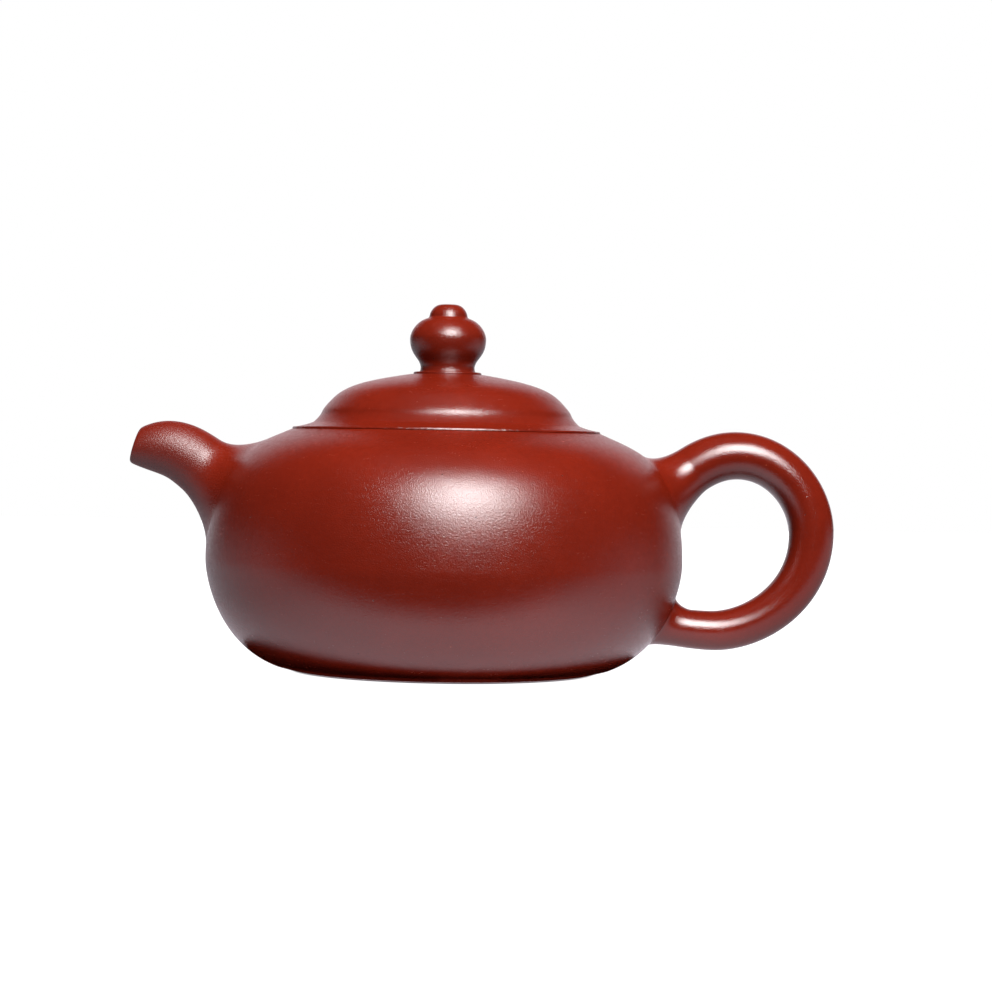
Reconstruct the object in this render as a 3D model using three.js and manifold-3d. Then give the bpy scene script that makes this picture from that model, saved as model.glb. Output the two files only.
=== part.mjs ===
// A small round teapot of unglazed red-brown clay: a squat body on a flat foot, a short bent
// spout, a loop handle, and a domed lid with a sloping brim, a locating flange and a round knob.
//
// The pot is hand-built from separate clay pieces that are luted together, so each piece is a
// solid of its own and keeps a thin seam to its neighbours.
//
// Millimetres, +Z up. The handle points to +X and the spout to -X. The origin is on the surface
// the pot stands on, under the middle of the whole object. Every piece is drawn around the
// body's own vertical axis, and the pot group then carries that axis to its place.

import * as THREE from 'three';
import { mergeVertices } from 'three/addons/utils/BufferGeometryUtils.js';
import { LoftGeometry } from 'three/addons/geometries/LoftGeometry.js';
import Module from 'manifold-3d';

const wasm = await Module();
wasm.setup();

// ---- Driving dimensions ------------------------------------------------------------------

const SEAM = 0.3;                    // gap at each luted seam and under the lid
const WALL = 2.8;                    // thickness of the body's wall
const TURN_STEPS = 48;               // facets round the pot's axis
const KNOB_STEPS = 28;               // facets round the knob

// Body, outer shape
const FOOT_RADIUS = 28.0;
const FOOT_INNER_RADIUS = 24.5;      // inner edge of the standing ring
const FOOT_RISE = 8.8;               // degrees, how steeply the underside leaves the foot
const FOOT_PULL = 14.2;
const BELLY_RADIUS = 45.15;
const BELLY_HEIGHT = 20.9;           // of the widest line
const BELLY_PULL_BELOW = 4.0;
const BELLY_PULL_ABOVE = 19.4;
const RIM_RADIUS = 29.3;             // outer edge of the mouth's flat rim
const RIM_HEIGHT = 45.5;
const RIM_SLOPE = 23.7;              // degrees, slope of the shoulder at the rim
const RIM_PULL = 8.1;
const MOUTH_RADIUS = 24.6;
const BASE_RECESS = 1.0;             // the base disc is pressed in by this much
const BASE_THICKNESS = 2.1;
const SHOULDER_SEAM_RADIUS = 36.5;   // where the wall meets the shoulder disc
const RIM_SEAM_RADIUS = 30.6;        // where the shoulder disc meets the mouth ring

// Spout, x and z from the body's axis
const SPOUT_TIP = [-59.1, 41.9];
const SPOUT_TIP_PULL = [-48.9, 41.8];
const SPOUT_ROOT_PULL = [-49.5, 40.3];
const SPOUT_ROOT = [-40.0, 33.6];
const SPOUT_RADII = [3.3, 6.9, 4.75, 7.45];
const SPOUT_LEAN = 16;               // degrees, the tip's face leans back at the top
const SPOUT_LEAN_REACH = 0.4;        // share of the path over which the lean fades out
const SPOUT_FREE = 0.62;             // share of the path before the root widens
const BORE_RADII = [2.5, 4.4, 3.4, 6.0];
const BORE_PAST_TIP = 3;
const BORE_PAST_WALL = 9;            // how far the channel runs on through the wall

// Strainer ball over the spout's inner end
const STRAINER_RADIUS = 8.3;
const STRAINER_WALL = 1.7;
const STRAINER_HOLE_RADIUS = 1.0;
const STRAINER_HOLE_RINGS = [[0, 1], [27, 6], [54, 12]];   // degrees off the middle, how many

// Handle: places on its middle line, x and z from the body's axis, the heading there in
// degrees, how far the curve pulls before and after the place, and the radius
const HANDLE_PLACES = [
  { at: [41.9, 35.1], heading: 34, before: 0, after: 3, radius: 4.7 },
  { at: [55.3, 41.9], heading: 0, before: 6.8, after: 8.3, radius: 4.5 },
  { at: [69.65, 27.0], heading: -90, before: 7.4, after: 11.5, radius: 4.25 },
  { at: [51.1, 8.6], heading: 180, before: 8.3, after: 2.5, radius: 3.75 },
  { at: [43.5, 9.0], heading: 180, before: 2.5, after: 0, radius: 3.6 },
];
const HANDLE_WIDTH = 1.08;           // sideways radius over the radius in the handle's plane
const HANDLE_FREE = [0.09, 0.955];   // shares of its length between the widening roots

// Roots: where each one lands on the body's skin, as the height of its middle, its reach up
// and down the skin and to each side, and how stiffly its hollow leaves tube and skin
const SPOUT_LANDING = { height: 34, up: 15.2, down: 11.5, side: 13.5, tubePull: 9, skinPull: 12 };
const CREST_LANDING = { height: 34.5, up: 9.5, down: 8, side: 10, tubePull: 5.2, skinPull: 9 };
const LOW_LANDING = { height: 9.5, up: 6.2, down: 5.2, side: 5.4, tubePull: 3.5, skinPull: 4 };

// Lid
const BRIM_EDGE = 0.25;              // height of the brim's edge
const BRIM_TOP = 46.95;              // where the brim's slope ends
const BRIM_TOP_RADIUS = 25.3;
const DOME_RADIUS = 24.7;
const DOME_WALL = 2.8;
const DOME_RISE = 60;                // degrees, how steeply the dome starts
const DOME_PULL = 6.7;
const DOME_TOP = 56.3;
const DOME_TOP_RADIUS = 7.0;         // of the flat seat under the knob
const DOME_TOP_SLOPE = 8.8;          // degrees
const DOME_TOP_PULL = 13.4;
const FLANGE_CLEARANCE = 0.4;
const FLANGE_WALL = 2.4;
const FLANGE_DEPTH = 7.8;
const FLANGE_BEVEL = 0.6;            // thinning of the flange's lower edge
const FLANGE_BEVEL_HEIGHT = 1.2;

// Knob
const VENT_RADIUS = 1.0;
const COLLAR_RADIUS = 6.45;          // of the thin ring round the neck's foot
const COLLAR_RING_HEIGHT = 0.5;
const COLLAR_HEIGHT = 1.25;
const NECK_RADIUS = 5.12;
const NECK_FLARE = 0.25;             // how much wider the neck is where it meets the ring
const KNOB_HOLLOW = [5.35, 59.4];    // radius and height that draw the knob's hollow underside
const KNOB_RADIUS = 7.22;
const KNOB_BELLY = 63.0;             // height of the knob's widest line
const KNOB_PULL_BELOW = 3.1;
const KNOB_PULL_ABOVE = 1.5;
const KNOB_SHOULDER = [5.8, 66.6];   // radius and height that round the knob over
const KNOB_TOP = 67.0;
const CREASE_RADIUS = 3.7;           // where the bead sits in the knob
const BEAD_RADIUS = 3.6;
const BEAD_PULL = 0.8;
const BEAD_SHOULDER_RADIUS = 2.8;
const BEAD_FLAT_RADIUS = 1.3;        // of the small flat round the vent hole
const BEAD_TOP = 69.6;

// How far the pieces reach from the body's axis, which sets the axis's place
const SPOUT_REACH = 60.1;
const HANDLE_REACH = 73.9;

// ---- Helpers -----------------------------------------------------------------------------

const radians = THREE.MathUtils.degToRad;
const ACROSS = new THREE.Vector3(0, -1, 0);
const MERGE_DISTANCE = 1e-4;

function point(r, z) {
  return new THREE.Vector2(r, z);
}

function inPlane([x, z]) {
  return new THREE.Vector3(x, 0, z);
}

function samples(count) {
  return Array.from({ length: count + 1 }, (_, i) => i / count);
}

// A plain curve through four Bezier control values, such as a radius along a path.
function bezier(values, t) {
  const [a, b, c, d] = values;
  const s = 1 - t;
  return s * s * s * a + 3 * s * s * t * b + 3 * s * t * t * c + t * t * t * d;
}

// A solid of revolution about Z. The section runs counter-clockwise in (radius, height).
function revolve(section, steps = TURN_STEPS) {
  return new THREE.LatheGeometry(section, steps).rotateX(Math.PI / 2);
}

// A ring of revolution: its section closes on itself.
function revolveRing(section, steps = TURN_STEPS) {
  return revolve([...section, section[0]], steps);
}

function toSolid(geometry) {
  const bare = new THREE.BufferGeometry();
  bare.setAttribute('position', geometry.attributes.position);
  bare.setIndex(geometry.index);
  const merged = mergeVertices(bare, MERGE_DISTANCE);
  const index = merged.index.array;
  const kept = [];
  for (let i = 0; i < index.length; i += 3) {
    const [a, b, c] = [index[i], index[i + 1], index[i + 2]];
    if (a !== b && b !== c && c !== a) kept.push(a, b, c);
  }
  const mesh = new wasm.Mesh({
    numProp: 3,
    vertProperties: new Float32Array(merged.attributes.position.array),
    triVerts: new Uint32Array(kept),
  });
  return new wasm.Manifold(mesh);
}

function toGeometry(solid) {
  const mesh = solid.getMesh();
  const geometry = new THREE.BufferGeometry();
  geometry.setAttribute('position', new THREE.BufferAttribute(mesh.vertProperties, 3));
  geometry.setIndex(new THREE.BufferAttribute(mesh.triVerts, 1));
  geometry.computeVertexNormals();
  return geometry;
}

function clay() {
  return new THREE.MeshStandardMaterial({ color: 0x7d3520, roughness: 0.5, metalness: 0 });
}

function piece(name, geometry) {
  const mesh = new THREE.Mesh(geometry, clay());
  mesh.name = name;
  return mesh;
}

// ---- The body's outer profile ------------------------------------------------------------

function makeBodyProfile() {
  const rise = radians(FOOT_RISE);
  const slope = radians(RIM_SLOPE);
  const profile = new THREE.CurvePath();
  profile.add(new THREE.CubicBezierCurve(
    point(FOOT_RADIUS, 0),
    point(FOOT_RADIUS + FOOT_PULL * Math.cos(rise), FOOT_PULL * Math.sin(rise)),
    point(BELLY_RADIUS, BELLY_HEIGHT - BELLY_PULL_BELOW),
    point(BELLY_RADIUS, BELLY_HEIGHT),
  ));
  profile.add(new THREE.CubicBezierCurve(
    point(BELLY_RADIUS, BELLY_HEIGHT),
    point(BELLY_RADIUS, BELLY_HEIGHT + BELLY_PULL_ABOVE),
    point(RIM_RADIUS + RIM_PULL * Math.cos(slope), RIM_HEIGHT - RIM_PULL * Math.sin(slope)),
    point(RIM_RADIUS, RIM_HEIGHT),
  ));
  return profile;
}

const bodyProfile = makeBodyProfile();
const profileLength = bodyProfile.getLength();

// The profile's point at a share u of its length, moved inward by a depth.
function wallPoint(u, depth = 0) {
  const at = bodyProfile.getPointAt(u);
  const along = bodyProfile.getTangentAt(u);
  return point(at.x - along.y * depth, at.y + along.x * depth);
}

// The share of the profile at which the upper body has a given radius.
function shareAtRadius(radius) {
  let low = 0.5;
  let high = 1;
  for (let i = 0; i < 40; i++) {
    const middle = (low + high) / 2;
    if (bodyProfile.getPointAt(middle).x > radius) low = middle;
    else high = middle;
  }
  return low;
}

// The share of the profile at a height.
function shareAtHeight(height) {
  let low = 0;
  let high = 1;
  for (let i = 0; i < 40; i++) {
    const middle = (low + high) / 2;
    if (bodyProfile.getPointAt(middle).y < height) low = middle;
    else high = middle;
  }
  return low;
}

// A point on the body's skin: share u up the profile, at a sideways distance from the
// handle's (+1) or the spout's (-1) middle line, and at a depth under the skin.
function skinPoint(u, sideways, direction, depth = 0) {
  const at = wallPoint(u, depth);
  const angle = sideways / bodyProfile.getPointAt(u).x;
  return new THREE.Vector3(direction * at.x * Math.cos(angle), at.x * Math.sin(angle), at.y);
}

// The whole inside of a skin that lies at a depth under the body's outer surface.
function bodyCore(depth) {
  const section = samples(28).map((u) => wallPoint(u, depth));
  section.unshift(point(0, section[0].y));
  section.push(point(0, section[section.length - 1].y));
  return toSolid(revolve(section));
}

// ---- The body's pieces -------------------------------------------------------------------

const shoulderSeam = shareAtRadius(SHOULDER_SEAM_RADIUS);
const rimSeam = shareAtRadius(RIM_SEAM_RADIUS);
const halfSeam = SEAM / 2 / profileLength;

// The outer and the inner line of a stretch of the body's shell.
function shellLines(start, end, outerSteps, innerSteps) {
  const share = (t) => start + (end - start) * t;
  const outer = samples(outerSteps).map((t) => wallPoint(share(t)));
  const inner = samples(innerSteps).map((t) => wallPoint(share(t), WALL)).reverse();
  return { outer, inner };
}

function makeBaseDisc() {
  const radius = FOOT_INNER_RADIUS - SEAM;
  return revolve([
    point(0, BASE_RECESS),
    point(radius, BASE_RECESS),
    point(radius, BASE_RECESS + BASE_THICKNESS),
    point(0, BASE_RECESS + BASE_THICKNESS),
  ]);
}

function makeBodyWall() {
  const { outer, inner } = shellLines(0, shoulderSeam - halfSeam, 16, 10);
  const floor = inner[inner.length - 1].y;
  const ring = revolveRing([
    point(FOOT_INNER_RADIUS, 0),
    ...outer,
    ...inner,
    point(FOOT_INNER_RADIUS, floor),
  ]);
  return toGeometry(toSolid(ring).subtract(makeBore()));
}

function makeShoulderDisc() {
  const { outer, inner } = shellLines(shoulderSeam + halfSeam, rimSeam - halfSeam, 3, 2);
  return revolveRing([...outer, ...inner]);
}

function makeMouthRing() {
  const { outer, inner } = shellLines(rimSeam + halfSeam, 1, 1, 1);
  return revolveRing([
    ...outer,
    point(MOUTH_RADIUS, RIM_HEIGHT),
    point(MOUTH_RADIUS, RIM_HEIGHT - WALL),
    inner[inner.length - 1],
  ]);
}

// ---- Tubes and their roots ---------------------------------------------------------------

// One ring of a tube round a path in the X-Z plane. Its first point is on the side that lies
// to the left of the path, seen from -Y.
function tubeRing(path, t, radius, width, lean, sides) {
  const centre = path.getPointAt(t);
  const along = path.getTangentAt(t);
  const out = new THREE.Vector3(-along.z, 0, along.x);
  return samples(sides).slice(0, -1).map((share) => {
    const angle = share * 2 * Math.PI;
    return centre.clone()
      .addScaledVector(out, radius * Math.cos(angle))
      .addScaledVector(along, radius * lean * Math.cos(angle))
      .addScaledVector(ACROSS, radius * width * Math.sin(angle));
  });
}

// Where a root lands on the body: an ellipse on the skin, with its own reach each way. The
// root is on the side of the handle (+1) or of the spout (-1), and its ring's first point is
// the uppermost one (+1) or the lowermost one (-1).
function landing(root, sides, grow = 1, depth = 0) {
  return samples(sides).slice(0, -1).map((share) => {
    const angle = share * 2 * Math.PI;
    const upward = Math.cos(angle) * root.first;
    const reach = upward > 0 ? root.up : root.down;
    const u = shareAtHeight(root.height) + grow * upward * reach / profileLength;
    return skinPoint(u, -grow * root.side * Math.sin(angle), root.direction, depth);
  });
}

// Copies of the landing ellipse: a slightly larger one gives the skin's direction, and a
// smaller one under the skin ends the solid inside the wall.
const WIDER = 1.02;
const INSIDE = 0.9;
const STEP_ON = 0.01;                // share of a path that gives a tube's direction at its end

// The rings that carry a tube into the body with a smooth hollow curve: each line leaves the
// tube along the tube and reaches the skin along the skin.
function rootRings(ring, nextRing, root, steps) {
  const foot = landing(root, ring.length);
  const wider = landing(root, ring.length, WIDER);
  const rings = samples(steps).slice(1).map((t) => ring.map((start, i) => {
    const leave = nextRing[i].clone().sub(start).setLength(root.tubePull);
    const arrive = wider[i].clone().sub(foot[i]).setLength(root.skinPull);
    const a = 2 * t * t * t - 3 * t * t + 1;
    const b = t * t * t - 2 * t * t + t;
    const c = t * t * t - t * t;
    return new THREE.Vector3()
      .addScaledVector(start, a)
      .addScaledVector(leave, b)
      .addScaledVector(foot[i], 1 - a)
      .addScaledVector(arrive, c);
  }));
  rings.push(landing(root, ring.length, INSIDE, WALL));
  return rings;
}

function loft(rings) {
  return toSolid(new LoftGeometry(rings, { closed: true, capStart: true, capEnd: true }));
}

// ---- Spout and strainer ------------------------------------------------------------------

const spoutPath = new THREE.CubicBezierCurve3(
  inPlane(SPOUT_TIP),
  inPlane(SPOUT_TIP_PULL),
  inPlane(SPOUT_ROOT_PULL),
  inPlane(SPOUT_ROOT),
);

const spoutRoot = { ...SPOUT_LANDING, direction: -1, first: 1 };

function spoutRing(t) {
  const fade = Math.max(0, 1 - t / SPOUT_LEAN_REACH) ** 2;
  const lean = Math.tan(radians(SPOUT_LEAN)) * fade;
  return tubeRing(spoutPath, t, bezier(SPOUT_RADII, t), 1, lean, 24);
}

function makeSpout() {
  const free = samples(8).map((t) => spoutRing(t * SPOUT_FREE));
  const last = free[free.length - 1];
  const next = spoutRing(SPOUT_FREE + STEP_ON);
  const outside = loft([...free, ...rootRings(last, next, spoutRoot, 6)]);
  return toGeometry(outside.subtract(bodyCore(-SEAM)).subtract(makeBore()));
}

// The channel through the spout and on through the wall behind it.
function makeBore() {
  const rings = samples(8).map((t) => tubeRing(spoutPath, t, bezier(BORE_RADII, t), 1, 0, 16));
  const start = spoutPath.getTangentAt(0).setLength(BORE_PAST_TIP);
  const end = spoutPath.getTangentAt(1).setLength(BORE_PAST_WALL);
  rings.unshift(rings[0].map((p) => p.clone().sub(start)));
  rings.push(rings[rings.length - 1].map((p) => p.clone().add(end)));
  return loft(rings);
}

// A perforated ball of clay over the inner end of the spout's hole.
function makeStrainer() {
  const inward = spoutPath.getTangentAt(1);
  const centre = spoutPath.getPointAt(1);
  const ball = (radius) => toSolid(new THREE.SphereGeometry(radius, 16, 10)
    .translate(centre.x, centre.y, centre.z));
  let strainer = ball(STRAINER_RADIUS).subtract(ball(STRAINER_RADIUS - STRAINER_WALL));
  const turn = new THREE.Quaternion().setFromUnitVectors(new THREE.Vector3(0, 1, 0), inward);
  for (const [tilt, count] of STRAINER_HOLE_RINGS) {
    for (let i = 0; i < count; i++) {
      const pin = new THREE.CylinderGeometry(
        STRAINER_HOLE_RADIUS, STRAINER_HOLE_RADIUS, STRAINER_RADIUS, 6,
      )
        .translate(0, STRAINER_RADIUS, 0)
        .rotateX(radians(tilt))
        .rotateY(i * 2 * Math.PI / count)
        .applyQuaternion(turn)
        .translate(centre.x, centre.y, centre.z);
      strainer = strainer.subtract(toSolid(pin));
    }
  }
  return toGeometry(strainer.intersect(bodyCore(WALL + SEAM)));
}

// ---- Handle ------------------------------------------------------------------------------

function makeHandlePath() {
  const path = new THREE.CurvePath();
  for (let i = 1; i < HANDLE_PLACES.length; i++) {
    const from = HANDLE_PLACES[i - 1];
    const to = HANDLE_PLACES[i];
    path.add(new THREE.CubicBezierCurve3(
      inPlane(from.at),
      ahead(from, from.after),
      ahead(to, -to.before),
      inPlane(to.at),
    ));
  }
  return path;
}

// The point a distance ahead of a place on the handle, along the heading there.
function ahead(place, distance) {
  const heading = radians(place.heading);
  const step = new THREE.Vector3(Math.cos(heading), 0, Math.sin(heading));
  return inPlane(place.at).addScaledVector(step, distance);
}

const handlePath = makeHandlePath();

// The handle's radius at a share t of its length, blended between its places.
function handleRadius(t) {
  const lengths = [0, ...handlePath.getCurveLengths()];
  const distance = t * lengths[lengths.length - 1];
  const next = lengths.findIndex((length, i) => i > 0 && length >= distance);
  const share = (distance - lengths[next - 1]) / (lengths[next] - lengths[next - 1]);
  return THREE.MathUtils.lerp(HANDLE_PLACES[next - 1].radius, HANDLE_PLACES[next].radius, share);
}

const crestRoot = { ...CREST_LANDING, direction: 1, first: 1 };
const lowRoot = { ...LOW_LANDING, direction: 1, first: -1 };

function handleRing(t) {
  return tubeRing(handlePath, t, handleRadius(t), HANDLE_WIDTH, 0, 16);
}

function makeHandle() {
  const [start, end] = HANDLE_FREE;
  const free = samples(24).map((t) => handleRing(start + (end - start) * t));
  const crest = rootRings(free[0], handleRing(start - STEP_ON), crestRoot, 6).reverse();
  const low = rootRings(free[free.length - 1], handleRing(end + STEP_ON), lowRoot, 4);
  return toGeometry(loft([...crest, ...free, ...low]).subtract(bodyCore(-SEAM)));
}

// ---- Lid ---------------------------------------------------------------------------------

const lidSeat = RIM_HEIGHT + SEAM;
const discTop = BRIM_TOP - SEAM;

function makeLidDisc() {
  const inner = MOUTH_RADIUS - FLANGE_CLEARANCE - FLANGE_WALL;
  return revolveRing([
    point(inner, lidSeat),
    point(RIM_RADIUS, lidSeat),
    point(RIM_RADIUS, lidSeat + BRIM_EDGE),
    point(BRIM_TOP_RADIUS, BRIM_TOP),
    point(BRIM_TOP_RADIUS, discTop),
    point(inner, discTop),
  ]);
}

function makeLidDome() {
  const rise = radians(DOME_RISE);
  const slope = radians(DOME_TOP_SLOPE);
  const curve = new THREE.CubicBezierCurve(
    point(DOME_RADIUS, BRIM_TOP),
    point(DOME_RADIUS - DOME_PULL * Math.cos(rise), BRIM_TOP + DOME_PULL * Math.sin(rise)),
    point(DOME_TOP_RADIUS + DOME_TOP_PULL * Math.cos(slope),
      DOME_TOP - DOME_TOP_PULL * Math.sin(slope)),
    point(DOME_TOP_RADIUS, DOME_TOP),
  );
  const outer = samples(9).map((u) => curve.getPointAt(u));
  const inner = samples(7).map((u) => {
    const at = curve.getPointAt(u);
    const along = curve.getTangentAt(u);
    return point(at.x - along.y * DOME_WALL, Math.max(BRIM_TOP, at.y + along.x * DOME_WALL));
  }).reverse();
  const seat = DOME_TOP - SEAM;
  return revolveRing([
    ...outer,
    point(DOME_TOP_RADIUS - SEAM, seat),
    point(VENT_RADIUS, seat),
    point(VENT_RADIUS, inner[0].y),
    ...inner,
  ]);
}

function makeLidFlange() {
  const outer = MOUTH_RADIUS - FLANGE_CLEARANCE;
  const inner = outer - FLANGE_WALL;
  const top = lidSeat - SEAM;
  const bottom = RIM_HEIGHT - FLANGE_DEPTH;
  return revolveRing([
    point(inner, bottom),
    point(outer - FLANGE_BEVEL, bottom),
    point(outer, bottom + FLANGE_BEVEL_HEIGHT),
    point(outer, top),
    point(inner, top),
  ]);
}

// ---- Knob --------------------------------------------------------------------------------

const collarTop = DOME_TOP + COLLAR_HEIGHT;
const knobFoot = collarTop + SEAM;

// A thin ring with the foot of the neck standing on it.
function makeKnobCollar() {
  const edge = COLLAR_RING_HEIGHT / 2;
  const middle = DOME_TOP + edge;
  const rounding = samples(4).map((t) => {
    const angle = (t - 0.5) * Math.PI;
    return point(COLLAR_RADIUS - edge + edge * Math.cos(angle), middle + edge * Math.sin(angle));
  });
  return revolveRing([
    point(VENT_RADIUS, DOME_TOP),
    ...rounding,
    point(NECK_RADIUS + NECK_FLARE, DOME_TOP + COLLAR_RING_HEIGHT + edge / 2),
    point(NECK_RADIUS, collarTop),
    point(VENT_RADIUS, collarTop),
  ], KNOB_STEPS);
}

function makeKnob() {
  const side = new THREE.CubicBezierCurve(
    point(NECK_RADIUS, knobFoot),
    point(...KNOB_HOLLOW),
    point(KNOB_RADIUS, KNOB_BELLY - KNOB_PULL_BELOW),
    point(KNOB_RADIUS, KNOB_BELLY),
  );
  const crown = new THREE.CubicBezierCurve(
    point(KNOB_RADIUS, KNOB_BELLY),
    point(KNOB_RADIUS, KNOB_BELLY + KNOB_PULL_ABOVE),
    point(...KNOB_SHOULDER),
    point(CREASE_RADIUS, KNOB_TOP),
  );
  return revolveRing([
    point(VENT_RADIUS, knobFoot),
    ...side.getPoints(6),
    ...crown.getPoints(6).slice(1),
    point(VENT_RADIUS, KNOB_TOP),
  ], KNOB_STEPS);
}

function makeKnobFinial() {
  const foot = KNOB_TOP + SEAM;
  const curve = new THREE.CubicBezierCurve(
    point(BEAD_RADIUS, foot),
    point(BEAD_RADIUS, foot + BEAD_PULL),
    point(BEAD_SHOULDER_RADIUS, BEAD_TOP),
    point(BEAD_FLAT_RADIUS, BEAD_TOP),
  );
  return revolveRing([
    point(VENT_RADIUS, foot),
    ...curve.getPoints(6),
    point(VENT_RADIUS, BEAD_TOP),
  ], KNOB_STEPS);
}

// ---- Assembly ----------------------------------------------------------------------------

const pot = new THREE.Group();
pot.position.x = (SPOUT_REACH - HANDLE_REACH) / 2;
pot.add(piece('base_disc', makeBaseDisc()));
pot.add(piece('body_wall', makeBodyWall()));
pot.add(piece('shoulder_disc', makeShoulderDisc()));
pot.add(piece('mouth_ring', makeMouthRing()));
pot.add(piece('spout', makeSpout()));
pot.add(piece('strainer', makeStrainer()));
pot.add(piece('handle', makeHandle()));

const lid = new THREE.Group();
lid.add(piece('lid_disc', makeLidDisc()));
lid.add(piece('lid_dome', makeLidDome()));
lid.add(piece('lid_flange', makeLidFlange()));
lid.add(piece('knob_collar', makeKnobCollar()));
lid.add(piece('knob', makeKnob()));
lid.add(piece('knob_finial', makeKnobFinial()));
pot.add(lid);

const teapot = new THREE.Group();
teapot.add(pot);

export default teapot;
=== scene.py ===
# A small round teapot of unglazed red-brown clay on a pale studio sweep.
#
# Shapes are drawn in millimetres around the pot's own upright axis and carried to the frame's
# metres by to_frame(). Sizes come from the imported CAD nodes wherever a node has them.

import math

import bpy
import numpy as np
from mathutils import Matrix, Vector


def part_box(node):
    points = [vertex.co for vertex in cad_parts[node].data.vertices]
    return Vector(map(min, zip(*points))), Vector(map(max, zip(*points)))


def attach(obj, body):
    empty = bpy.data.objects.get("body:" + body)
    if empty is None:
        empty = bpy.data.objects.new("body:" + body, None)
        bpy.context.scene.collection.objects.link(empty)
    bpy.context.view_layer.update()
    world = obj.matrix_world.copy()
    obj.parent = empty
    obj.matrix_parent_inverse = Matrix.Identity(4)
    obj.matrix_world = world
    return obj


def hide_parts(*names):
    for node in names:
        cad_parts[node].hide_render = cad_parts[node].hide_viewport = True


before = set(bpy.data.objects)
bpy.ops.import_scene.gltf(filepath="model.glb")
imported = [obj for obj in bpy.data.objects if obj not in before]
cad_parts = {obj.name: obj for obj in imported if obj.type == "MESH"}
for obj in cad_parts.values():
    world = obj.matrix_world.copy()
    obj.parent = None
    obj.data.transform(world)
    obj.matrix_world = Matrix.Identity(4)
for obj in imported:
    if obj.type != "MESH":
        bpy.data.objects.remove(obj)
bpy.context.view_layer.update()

MM = 0.001

# ---- Sizes taken from the CAD nodes ------------------------------------------------------


def span(node):
    """A node's box in millimetres: lowest and highest corner."""
    low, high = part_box(node)
    return np.array(low) / MM, np.array(high) / MM


def radius_of(node):
    low, high = span(node)
    return (high[1] - low[1]) / 2


def bottom_of(node):
    return span(node)[0][2]


def top_of(node):
    return span(node)[1][2]


AXIS_X = float(span("lid_disc")[0][0] + span("lid_disc")[1][0]) / 2
SEAM = 0.3
HALF_SEAM = SEAM / 2
WALL = 2.8

BELLY_RADIUS = radius_of("body_wall")
BASE_RADIUS = radius_of("base_disc")
FOOT_INNER_RADIUS = BASE_RADIUS + SEAM
RIM_RADIUS = radius_of("lid_disc")
RIM_HEIGHT = top_of("mouth_ring")
SHOULDER_SEAM_RADIUS = radius_of("shoulder_disc") + HALF_SEAM
RIM_SEAM_RADIUS = radius_of("mouth_ring") + HALF_SEAM
RIM_WORN = 0.03
LID_GAP = 0.11
BRIM_INSET = 0.1
RIM_TOP = RIM_HEIGHT - RIM_WORN
LID_SEAT = RIM_TOP + LID_GAP
BRIM_RADIUS = RIM_RADIUS - BRIM_INSET
BRIM_TOP = top_of("lid_disc")
DOME_RADIUS = radius_of("lid_dome")
DOME_TOP = top_of("lid_dome")
FLANGE_RADIUS = radius_of("lid_flange")
FLANGE_CLEARANCE = 0.4
MOUTH_RADIUS = FLANGE_RADIUS + FLANGE_CLEARANCE
COLLAR_RADIUS = radius_of("knob_collar")
KNOB_RADIUS = radius_of("knob")
KNOB_FOOT = bottom_of("knob")
KNOB_TOP = top_of("knob")
BEAD_RADIUS = radius_of("knob_finial")
BEAD_TOP = top_of("knob_finial")

# ---- Shape constants that no node's box holds --------------------------------------------

FOOT_RADIUS = 28.0
FOOT_RISE = math.radians(8.8)
FOOT_PULL = 14.2
BELLY_HEIGHT = 20.9
BELLY_PULL_BELOW = 4.0
BELLY_PULL_ABOVE = 19.4
RIM_SLOPE = math.radians(23.7)
RIM_PULL = 8.1

SPOUT_PATH = [(-59.1, 41.9), (-48.9, 41.8), (-49.5, 40.3), (-40.0, 33.6)]
SPOUT_RADII = [3.3, 6.9, 4.75, 7.45]
BORE_RADII = [2.5, 4.4, 3.4, 6.0]
SPOUT_LEAN = math.tan(math.radians(16))
SPOUT_LEAN_REACH = 0.4
SPOUT_FREE = 0.62
LIP_ROUNDING = 0.75
WALL_HOLE_REACH = 12.0

HANDLE_PLACES = [
    dict(at=(41.9, 35.1), heading=34, before=0, after=3, radius=4.7),
    dict(at=(55.3, 41.9), heading=0, before=6.8, after=8.3, radius=4.5),
    dict(at=(69.65, 27.0), heading=-90, before=7.4, after=11.5, radius=4.25),
    dict(at=(51.1, 8.6), heading=180, before=8.3, after=2.5, radius=3.75),
    dict(at=(43.5, 9.0), heading=180, before=2.5, after=0, radius=3.6),
]
HANDLE_WIDTH = 1.08
HANDLE_FREE = (0.09, 0.955)

SPOUT_ROOT = dict(height=34, up=14.7, down=11.5, side=13.5, tube_pull=9, skin_pull=12,
                  direction=-1, first=1)
CREST_ROOT = dict(height=34.5, up=9.5, down=8, side=10, tube_pull=5.2, skin_pull=9,
                  direction=1, first=1)
LOW_ROOT = dict(height=9.5, up=6.2, down=5.2, side=5.4, tube_pull=3.5, skin_pull=4,
                direction=1, first=-1)
ROOT_SINK = 0.012
BASE_DOME = 0.25

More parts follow.
